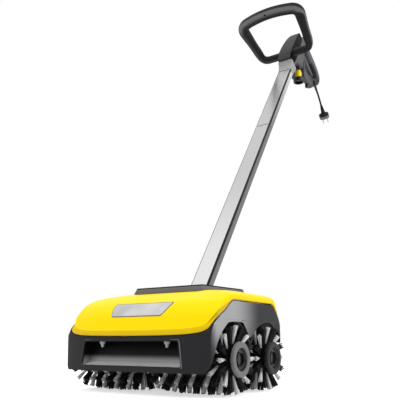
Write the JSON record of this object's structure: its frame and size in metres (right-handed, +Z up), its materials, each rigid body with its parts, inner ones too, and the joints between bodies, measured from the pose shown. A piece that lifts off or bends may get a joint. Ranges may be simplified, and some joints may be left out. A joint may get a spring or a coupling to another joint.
{
  "type": "patio cleaner",
  "caption": "Electric walk-behind patio cleaner: low brush head on bristle rollers, long folding tube with front loop, rear trigger grip, hose coupling and mains lead.",
  "frame": {"origin": "on the floor, under the middle of the machine's bounding box without the mains lead", "axes": "+Z up, the head's front faces -Y and the handle leans back to +Y, +X is to the right seen from the front"},
  "size_m": [0.396, 1.1884, 1.2413],
  "materials": {
    "yellow_plastic": "satin moulded yellow plastic",
    "black_plastic": "fine-grained black plastic",
    "grey_plastic": "fine-grained dark grey plastic",
    "light_grey_plastic": "light grey plastic",
    "soft_black": "soft black rubber",
    "bristle_nylon": "black bristle filament",
    "tube_aluminium": "brushed and anodised",
    "steel": "turned steel",
    "painted_steel": "black powder coat",
    "cast_metal": "as cast",
    "silver_plate": "bare polished plate",
    "copper": "lacquered winding"
  },
  "bodies": {
    "machine": {"lower_housing": "black_plastic", "hood": "yellow_plastic", "deck": "grey_plastic", "badge_plate": "silver_plate", "chassis": "painted_steel", "water_rail": "grey_plastic", "control_box": "painted_steel", "deck_screw_left": "steel", "deck_screw_right": "steel", "spray_nozzle_left": "light_grey_plastic", "spray_nozzle_right": "light_grey_plastic", "gear_case_left": "cast_metal", "gear_case_right": "cast_metal", "motor_housing": "painted_steel", "motor_stator": "copper", "pivot_pin": "steel"},
    "front_brush": {"front_shaft": "steel", "front_drive_gear": "steel", "front_roller_core_left": "black_plastic", "front_bristles_left": "bristle_nylon", "front_hub_ring_left": "grey_plastic", "front_roller_core_right": "black_plastic", "front_bristles_right": "bristle_nylon", "front_hub_ring_right": "grey_plastic"},
    "rear_brush": {"rear_shaft": "steel", "rear_drive_gear": "steel", "rear_roller_core_left": "black_plastic", "rear_bristles_left": "bristle_nylon", "rear_hub_ring_left": "grey_plastic", "rear_roller_core_right": "black_plastic", "rear_bristles_right": "bristle_nylon", "rear_hub_ring_right": "grey_plastic"},
    "rotor": {"motor_rotor": "steel"},
    "reduction": {"reduction_gear": "steel"},
    "high_idler": {"high_idler_gear": "steel"},
    "front_idler": {"front_idler_gear": "steel"},
    "rear_idler": {"rear_idler_gear": "steel"},
    "handle": {"tube_foot": "black_plastic", "lower_tube": "tube_aluminium", "upper_tube": "tube_aluminium", "tube_joint_sleeve": "grey_plastic", "water_pipe": "soft_black", "tube_collar": "light_grey_plastic", "spine_cover": "grey_plastic", "grip_shell_left": "grey_plastic", "grip_shell_right": "grey_plastic", "loop_upper_shell": "black_plastic", "loop_lower_shell": "black_plastic", "loop_screw_left": "steel", "loop_screw_right": "steel", "trigger_pin": "steel", "power_switch": "soft_black", "valve_body": "grey_plastic", "hose_coupling": "black_plastic", "cable_hook": "black_plastic", "strain_relief": "soft_black", "cord": "soft_black", "plug": "soft_black"},
    "trigger": {"trigger": "grey_plastic"},
    "valve_knob": {"valve_knob": "yellow_plastic"}
  },
  "joints": [
    {"name": "handle_pivot", "type": "hinge", "parent": "machine", "child": "handle", "pos_m": [0, -0.33867, 0.156], "axis": [1, 0, 0], "range_deg": [-30.75, 34.25]},
    {"name": "front_brush_spin", "type": "hinge", "parent": "machine", "child": "front_brush", "pos_m": [0, -0.45267, 0.0665], "axis": [1, 0, 0], "continuous": true},
    {"name": "rear_brush_spin", "type": "hinge", "parent": "machine", "child": "rear_brush", "pos_m": [0, -0.31567, 0.0665], "axis": [1, 0, 0], "continuous": true},
    {"name": "front_idler_spin", "type": "hinge", "parent": "machine", "child": "front_idler", "pos_m": [0, -0.407, 0.0665], "axis": [1, 0, 0], "continuous": true},
    {"name": "rear_idler_spin", "type": "hinge", "parent": "machine", "child": "rear_idler", "pos_m": [0, -0.36133, 0.0665], "axis": [1, 0, 0], "continuous": true},
    {"name": "high_idler_spin", "type": "hinge", "parent": "machine", "child": "high_idler", "pos_m": [0, -0.40449, 0.11924], "axis": [1, 0, 0], "continuous": true},
    {"name": "reduction_spin", "type": "hinge", "parent": "machine", "child": "reduction", "pos_m": [0, -0.41167, 0.16], "axis": [1, 0, 0], "continuous": true},
    {"name": "rotor_spin", "type": "hinge", "parent": "machine", "child": "rotor", "pos_m": [0, -0.38407, 0.15006], "axis": [1, 0, 0], "continuous": true},
    {"name": "trigger_pull", "type": "hinge", "parent": "handle", "child": "trigger", "pos_m": [0, 0.39857, 1.17626], "axis": [1, 0, 0], "range_deg": [0, 5], "stiffness_Nm_per_rad": 2, "springref_deg": -2.86},
    {"name": "valve_turn", "type": "hinge", "parent": "handle", "child": "valve_knob", "pos_m": [0, 0.36733, 1.075], "axis": [0, 0, 1], "range_deg": [0, 90]}
  ],
  "couplings": [
    {"joint": "rear_brush_spin", "follows": "front_brush_spin", "ratio": -1},
    {"joint": "front_idler_spin", "follows": "front_brush_spin", "ratio": -1},
    {"joint": "rear_idler_spin", "follows": "front_brush_spin", "ratio": 1},
    {"joint": "high_idler_spin", "follows": "front_brush_spin", "ratio": 0.7619},
    {"joint": "reduction_spin", "follows": "front_brush_spin", "ratio": -2},
    {"joint": "rotor_spin", "follows": "front_brush_spin", "ratio": 6}
  ]
}
